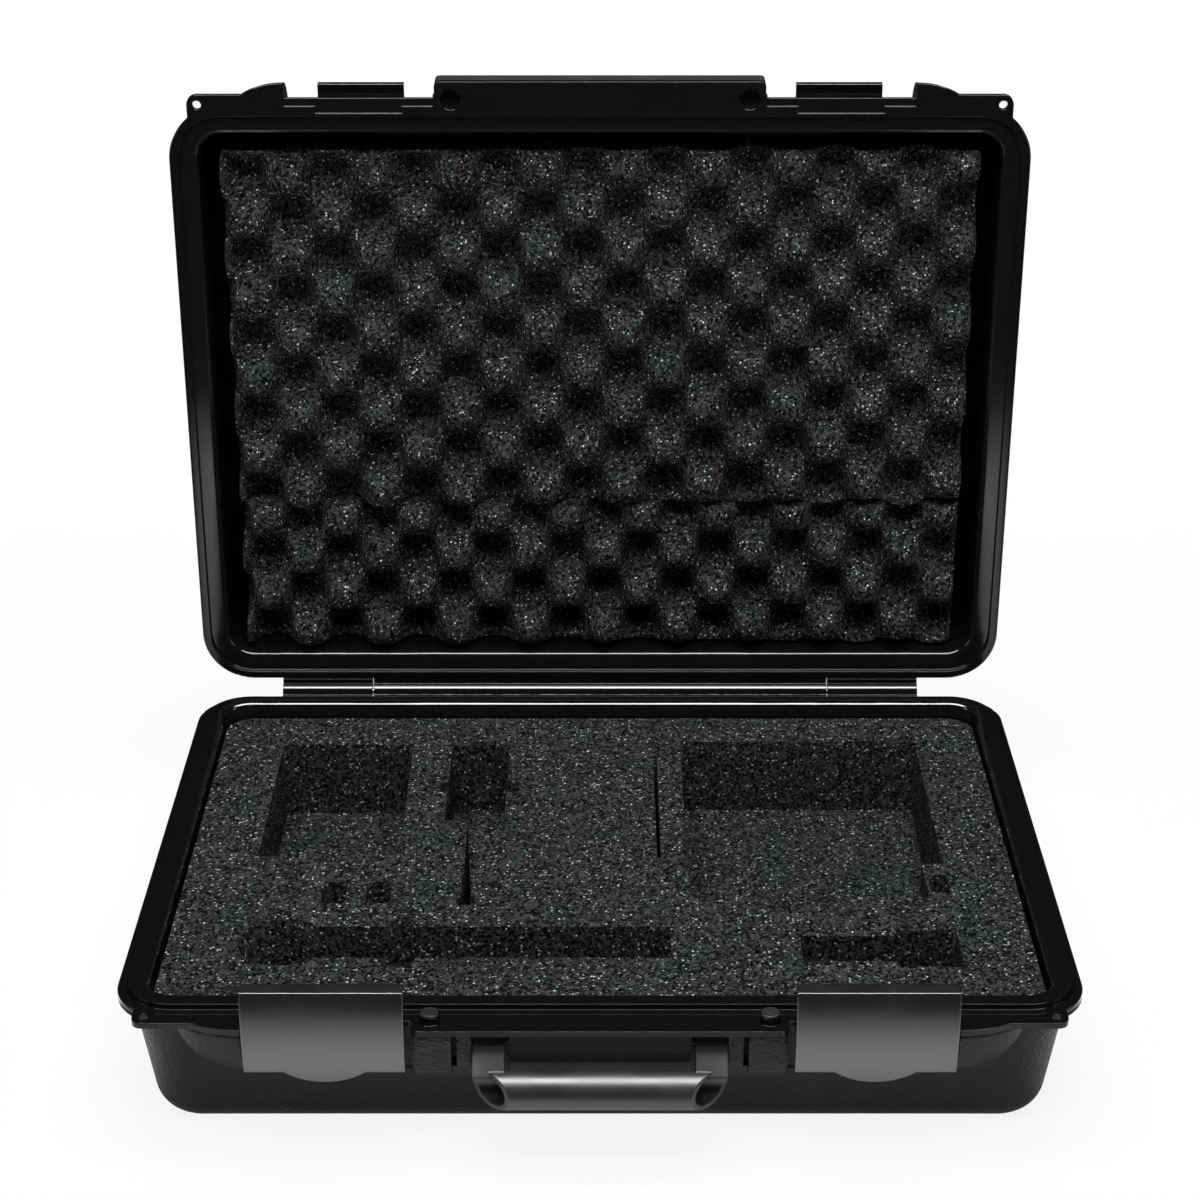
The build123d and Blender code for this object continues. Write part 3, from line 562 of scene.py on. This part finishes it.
# %% [markdown]
# ## Egg-crate foam in the lid
#
# Convoluted foam is cut by squeezing a sheet between pegged rollers against a
# knife: where a peg pushes, the knife leaves a peak, and between pegs a pit.
# Peaks and pits therefore alternate like the squares of a chessboard, which is
# the product of two cosines. That is a rule, so Geometry Nodes cut it: a blank
# sheet goes in, and each front point sinks by what the rule says. The blank
# carries a number called *crown*, from 1 on its front to 0 at its back, so
# that the walls of the sheet follow the front and its back stays flat.

# %% Foam blank
BLANK_STEP = 2.1 * MM
WALL_RINGS = 6


def foam_blank(name, low, high):
    """Closed sheet in the shut lid's frame; crown is 1 on its front, 0 at its back."""
    across = round((high.x - low.x) / BLANK_STEP)
    along = round((high.y - low.y) / BLANK_STEP)
    work = bmesh.new()
    crown = work.verts.layers.float.new("crown")
    rows = []
    for j in range(along + 1):
        y = low.y + (high.y - low.y) * j / along
        rows.append([
            work.verts.new((low.x + (high.x - low.x) * i / across, y, low.z))
            for i in range(across + 1)
        ])
    for row in rows:
        for vertex in row:
            vertex[crown] = 1.0
    for j in range(along):
        for i in range(across):
            a, b = rows[j], rows[j + 1]
            work.faces.new((a[i], b[i], b[i + 1], a[i + 1]))
    loop = rows[0] + [r[-1] for r in rows[1:]]
    loop += rows[-1][-2::-1] + [r[0] for r in rows[-2:0:-1]]
    ring = loop
    for k in range(1, WALL_RINGS + 1):
        share = k / WALL_RINGS
        z = low.z + (high.z - low.z) * share
        next_ring = [work.verts.new((v.co.x, v.co.y, z)) for v in loop]
        for vertex in next_ring:
            vertex[crown] = 1.0 - share
        for i, vertex in enumerate(ring):
            j = (i + 1) % len(ring)
            work.faces.new((vertex, ring[j], next_ring[j], next_ring[i]))
        ring = next_ring
    work.faces.new(ring)
    bmesh.ops.recalc_face_normals(work, faces=work.faces)
    mesh = bpy.data.meshes.new(name)
    work.to_mesh(mesh)
    work.free()
    piece = bpy.data.objects.new(name, mesh)
    bpy.context.scene.collection.objects.link(piece)
    return piece


print("blank step", BLANK_STEP)


# %% [markdown]
# The tree below is that rule. Its inputs are the sizes a foam maker would
# quote: the pitch of the peaks each way, the depth of the pits, where a pit
# stands, how much the sheet was turned when it was glued in, and how uneven
# the cut is. *Fullness* flattens the crests and the floors of the pits.

# %% Egg-crate tree
def tree_inputs(tree, inputs):
    """Named float inputs with their defaults, after the geometry."""
    tree.interface.new_socket("Geometry", in_out="INPUT", socket_type="NodeSocketGeometry")
    for name, value in inputs.items():
        socket = tree.interface.new_socket(name, in_out="INPUT", socket_type="NodeSocketFloat")
        socket.default_value = value
    tree.interface.new_socket("Material", in_out="INPUT", socket_type="NodeSocketMaterial")
    tree.interface.new_socket("Geometry", in_out="OUTPUT", socket_type="NodeSocketGeometry")


EGG_INPUTS = {
    "Pitch X": 0.048, "Pitch Y": 0.048, "Depth": 0.028, "Pit X": 0.0, "Pit Y": 0.0,
    "Turn": 0.0, "Fullness": 1.4, "Unevenness": 0.0016, "Seed": 7.0,
}
UNEVEN_SCALE = 45.0


def wave(tree, value, centre, pitch):
    """Wave of the pits along one way: cos(2 pi (value - centre) / pitch)."""
    offset = calc(tree, "SUBTRACT", value, centre)
    turns = calc(tree, "DIVIDE", offset, pitch)
    return calc(tree, "COSINE", calc(tree, "MULTIPLY", turns, 2.0 * pi))


def egg_crate_tree():
    """Geometry tree that sinks the front of a blank into peaks and pits."""
    tree = bpy.data.node_groups.new("egg_crate", "GeometryNodeTree")
    tree_inputs(tree, EGG_INPUTS)
    source = tree.nodes.new("NodeGroupInput").outputs
    place = tree.nodes.new("GeometryNodeInputPosition").outputs[0]
    split = add(tree, "ShaderNodeSeparateXYZ", Vector=place).outputs
    turned_y = calc(tree, "SUBTRACT", split[1], calc(tree, "MULTIPLY", split[0], source["Turn"]))
    across = wave(tree, split[0], source["Pit X"], source["Pitch X"])
    along = wave(tree, turned_y, source["Pit Y"], source["Pitch Y"])
    board = calc(tree, "MULTIPLY", across, along)
    swell = calc(tree, "MULTIPLY", calc(tree, "ABSOLUTE", board), source["Fullness"])
    board = calc(tree, "DIVIDE", board, calc(tree, "ADD", swell, 1.0))
    full = calc(tree, "ADD", source["Fullness"], 1.0)
    board = calc(tree, "MULTIPLY", board, full)
    sink = calc(tree, "ADD", calc(tree, "MULTIPLY", board, 0.5), 0.5)
    sink = calc(tree, "MULTIPLY", sink, source["Depth"])
    noise = add(
        tree, "ShaderNodeTexNoise", {"noise_dimensions": "4D"},
        Vector=place, W=source["Seed"], Scale=UNEVEN_SCALE, Detail=3.0,
    )
    uneven = calc(tree, "MULTIPLY", noise.outputs[0], source["Unevenness"])
    sink = calc(tree, "ADD", sink, uneven)
    crown = add(tree, "GeometryNodeInputNamedAttribute", {"data_type": "FLOAT"}, Name="crown")
    sink = calc(tree, "MULTIPLY", sink, crown.outputs[0])
    offset = add(tree, "ShaderNodeCombineXYZ", Z=sink)
    moved = add(
        tree, "GeometryNodeSetPosition", Geometry=source["Geometry"], Offset=offset.outputs[0]
    )
    smooth = add(tree, "GeometryNodeSetShadeSmooth", Geometry=moved.outputs[0])
    real = add(tree, "GeometryNodeRealizeInstances", Geometry=smooth.outputs[0])
    finished = add(
        tree, "GeometryNodeSetMaterial", Geometry=real.outputs[0], Material=source["Material"]
    )
    target = tree.nodes.new("NodeGroupOutput")
    tree.links.new(finished.outputs[0], target.inputs[0])
    return tree


egg_tree = egg_crate_tree()
print("egg-crate tree has", len(egg_tree.nodes), "nodes")

# %% [markdown]
# The lid holds two sheets that meet in a cut below the middle. *Pitch* is the
# distance between two pits in a row or a column; the pits in between are
# shifted by half of it both ways. The lower sheet was stretched a little less
# across when it was glued in, so its *Pitch X* is smaller. *Pit Y* is given
# from the hinge, so that the pattern keeps its place in the lid.

# %% Lid foam sheets
SHEETS = {
    "egg_crate_upper": {
        "node": "lid_foam_upper",
        "Pitch X": 0.048, "Pitch Y": 0.049, "Pit X": -0.0098, "Pit Y": -0.3273,
        "Turn": -0.02, "Seed": 3.0,
    },
    "egg_crate_lower": {
        "node": "lid_foam_lower",
        "Pitch X": 0.0451, "Pitch Y": 0.0495, "Pit X": -0.0202, "Pit Y": -0.0878,
        "Turn": -0.012, "Seed": 8.0,
    },
}
SHUT_LID = OPEN_LID.inverted()


def shut_box(node):
    """Box of a lid node in the shut case's frame."""
    points = [SHUT_LID @ v.co for v in nodes[node].data.vertices]
    low = Vector(min(p[i] for p in points) for i in range(3))
    high = Vector(max(p[i] for p in points) for i in range(3))
    return low, high


def egg_crate_sheet(name, facts):
    """One convoluted sheet: blank, rule, plain mesh, then swung open with the lid."""
    low, high = shut_box(facts["node"])
    piece = foam_blank(name, low, high)
    modifier = piece.modifiers.new("egg crate", "NODES")
    modifier.node_group = egg_tree
    keys = {
        item.name: item.identifier
        for item in egg_tree.interface.items_tree
        if item.in_out == "INPUT"
    }
    for label in EGG_INPUTS:
        value = facts.get(label, EGG_INPUTS[label])
        if label == "Pit Y":
            value += HINGE.y
        modifier[keys[label]] = value
    modifier[keys["Material"]] = foam
    settle(piece)
    piece.data.transform(OPEN_LID)
    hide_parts(facts["node"])
    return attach(piece, "lid")


for name, facts in SHEETS.items():
    sheet = egg_crate_sheet(name, facts)
    print(name, triangles(sheet), "triangles")

# %% [markdown]
# ## Studio
#
# The case stands on a pale table in front of a white wall. Camera rays see
# both as white. In black plastic the table shows as a painted reflection: a
# glow that is brightest close to the case and falls to black further away, a
# painted fall-off in place of a studio flag.
#
# This painted glow is brightest just beside the case, with a painted shadow
# at the case's foot, so it depends on how far a point lies outside the case's
# footprint.

# %% Floor and world
FLOOR_PALE = (0.82, 0.82, 0.82)
FLOOR_GLOW = 0.88
ALL_GLOW = (0.1, 0.6)
MIRROR_PAINTED_GLOW = 1.75
MIRROR_PAINTED_DARK = 0.02
MIRROR_PAINTED_SHADOW = 0.3
FOOTPRINT = (0.23, 0.18)
MIRROR_RISE = (0.0, 0.06)
MIRROR_FALL = (0.09, 0.25)
FLOOR_REACH = 30.0
FLOOR_ROUGH = 0.9
WHITE = (1.0, 1.0, 1.0, 1.0)


def seen_white(rays):
    """The two kinds of ray that have to see white: the camera's and those through glass."""
    return rays["Is Camera Ray"], rays["Is Transmission Ray"]


def white_floor():
    """Pale floor: white to the camera; in reflections a painted glow that darkens away from the
    case.
    """
    mesh = bpy.data.meshes.new("floor")
    signs = ((-1, -1), (1, -1), (1, 1), (-1, 1))
    corners = [(x * FLOOR_REACH, y * FLOOR_REACH, 0.0) for x, y in signs]
    mesh.from_pydata(corners, [], [(0, 1, 2, 3)])
    floor = bpy.data.objects.new("floor", mesh)
    bpy.context.scene.collection.objects.link(floor)
    material, tree, shader = new_material("floor_paint")
    paint(
        tree, shader,
        Base_Color=opaque(FLOOR_PALE), Roughness=FLOOR_ROUGH, Specular_IOR_Level=0.0,
    )
    rays = add(tree, "ShaderNodeLightPath").outputs
    seen = calc(tree, "MAXIMUM", *seen_white(rays))
    mirrored = rays["Is Glossy Ray"]
    place = add(tree, "ShaderNodeTexCoord").outputs["Object"]
    split = add(tree, "ShaderNodeSeparateXYZ", Vector=place).outputs
    beside = [
        calc(tree, "SUBTRACT", calc(tree, "ABSOLUTE", split[i]), FOOTPRINT[i]) for i in (0, 1)
    ]
    away = calc(tree, "MAXIMUM", *beside)
    # painted reflection: a painted shadow at the foot, the brightest glow beside the case,
    # painted dark further away
    rise = spread(tree, away, *MIRROR_RISE, MIRROR_PAINTED_SHADOW, MIRROR_PAINTED_GLOW)
    fall = spread(tree, away, *MIRROR_FALL, 1.0, MIRROR_PAINTED_DARK)
    fade = calc(tree, "MULTIPLY", rise, fall)
    strength = calc(tree, "ADD", calc(tree, "MULTIPLY", mirrored, fade), seen)
    own = spread(tree, away, *ALL_GLOW, FLOOR_GLOW, 1.0)
    share = calc(tree, "MAXIMUM", calc(tree, "MULTIPLY", seen, own), mirrored)
    glow = add(tree, "ShaderNodeEmission", Color=WHITE, Strength=strength)
    mix = add(
        tree, "ShaderNodeMixShader", i0=share, i1=shader.outputs[0], i2=glow.outputs[0]
    )
    tree.links.new(mix.outputs[0], tree.nodes["Material Output"].inputs[0])
    mesh.materials.append(material)
    return floor


WORLD_LIGHT = 0.005


def white_world():
    """White to the camera, a dim even light to everything else."""
    world = bpy.data.worlds.new("studio")
    bpy.context.scene.world = world
    world.use_nodes = True
    tree = world.node_tree
    tree.nodes.clear()
    rays = add(tree, "ShaderNodeLightPath").outputs
    seen = calc(tree, "MAXIMUM", *seen_white(rays))
    strength = spread(tree, seen, 0.0, 1.0, WORLD_LIGHT, 1.0)
    glow = add(tree, "ShaderNodeBackground", Color=WHITE, Strength=strength)
    target = tree.nodes.new("ShaderNodeOutputWorld")
    tree.links.new(glow.outputs[0], target.inputs[0])
    return world


white_floor()
white_world()
print("floor and world ready")

# %% [markdown]
# ## Lamps
#
# Light and shine come from different boxes. The overhead box hangs above the
# case and rakes down the open lid: it lights the upper flank of every foam
# peak, leaves the pits black and cuts the pockets out of the tray. The key
# stands high in front and fills in what the overhead box leaves too dark; too
# much of it flattens the foam. A wide sheet overhead lights nothing and only
# draws the long highlights on rims, barrel and grip. Two weak boxes rake the
# side walls, and one behind the lid brings out the grain of its back. That one
# is kept out of mirror images, because the rims beside the lid would show it.

# %% Lamps
def softbox(name, place, aim, width, depth, power, lights=True, shines=True):
    """Rectangular area lamp turned to a point; it lights surfaces, shines in them, or both."""
    data = bpy.data.lights.new(name, "AREA")
    data.shape = "RECTANGLE"
    data.size = width
    data.size_y = depth
    data.energy = power
    lamp = bpy.data.objects.new(name, data)
    lamp.location = place
    lamp.rotation_euler = (Vector(aim) - Vector(place)).to_track_quat("-Z", "Y").to_euler()
    lamp.visible_diffuse = lights
    lamp.visible_glossy = shines
    bpy.context.scene.collection.objects.link(lamp)
    return lamp


softbox(
    "key_box", place=(0.0, -0.95, 1.62), aim=(0.0, 0.1, 0.2),
    width=1.2, depth=0.32, power=18.0, shines=False,
)
softbox(
    "overhead_box", place=(0.0, -0.1, 1.6), aim=(0.0, 0.0, 0.1),
    width=1.3, depth=0.4, power=16.5, shines=False,
)
softbox(
    "overhead_sheen", place=(0.0, -0.15, 1.6), aim=(0.0, 0.0, 0.1),
    width=1.8, depth=0.7, power=110.0, lights=False,
)
softbox(
    "back_box", place=(0.0, 1.7, 1.2), aim=(0.0, 0.2, 0.3),
    width=1.2, depth=0.6, power=14.0, shines=False,
)
for side in (-1, 1):
    softbox(
        f"flank_box_{side}", place=(1.5 * side, -0.5, 0.45), aim=(0.0, -0.1, 0.08),
        width=0.5, depth=0.7, power=3.5,
    )
bpy.context.scene.view_settings.view_transform = "Standard"
print("lamps ready")
